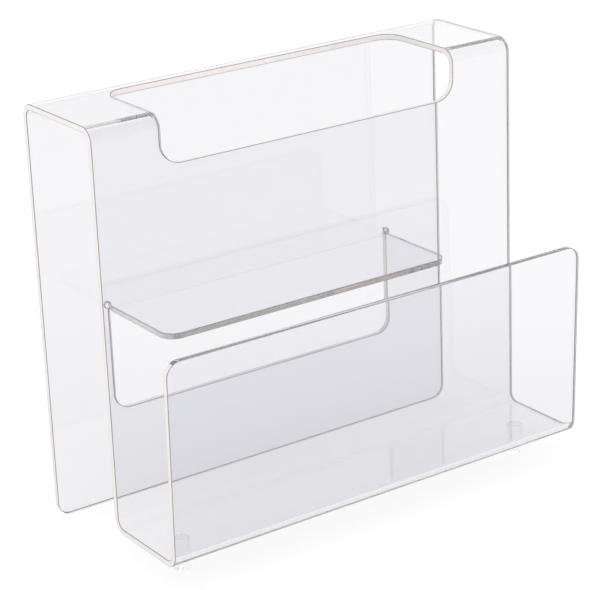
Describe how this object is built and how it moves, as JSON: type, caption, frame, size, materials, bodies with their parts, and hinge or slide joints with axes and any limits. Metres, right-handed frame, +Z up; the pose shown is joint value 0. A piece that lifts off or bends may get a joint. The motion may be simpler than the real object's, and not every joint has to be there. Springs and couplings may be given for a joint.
{
  "type": "magazine rack",
  "caption": "Clear acrylic magazine rack bent from one sheet, with a lidded rear compartment, a front pocket and round rod feet.",
  "frame": {"origin": "on the table, under the middle of the rack's bounding box", "axes": "+Z up, +X along the rack's length, +Y towards the back panel; the front pocket is on the -Y side"},
  "size_m": [0.4, 0.1928, 0.3535],
  "materials": {
    "sheet": "clear cast acrylic sheet, gloss faces, flame-polished edges",
    "foot": "clear acrylic rod, turned and polished"
  },
  "bodies": {
    "root": {"bent_sheet": "sheet", "foot_left": "foot", "foot_right": "foot"}
  },
  "joints": []
}
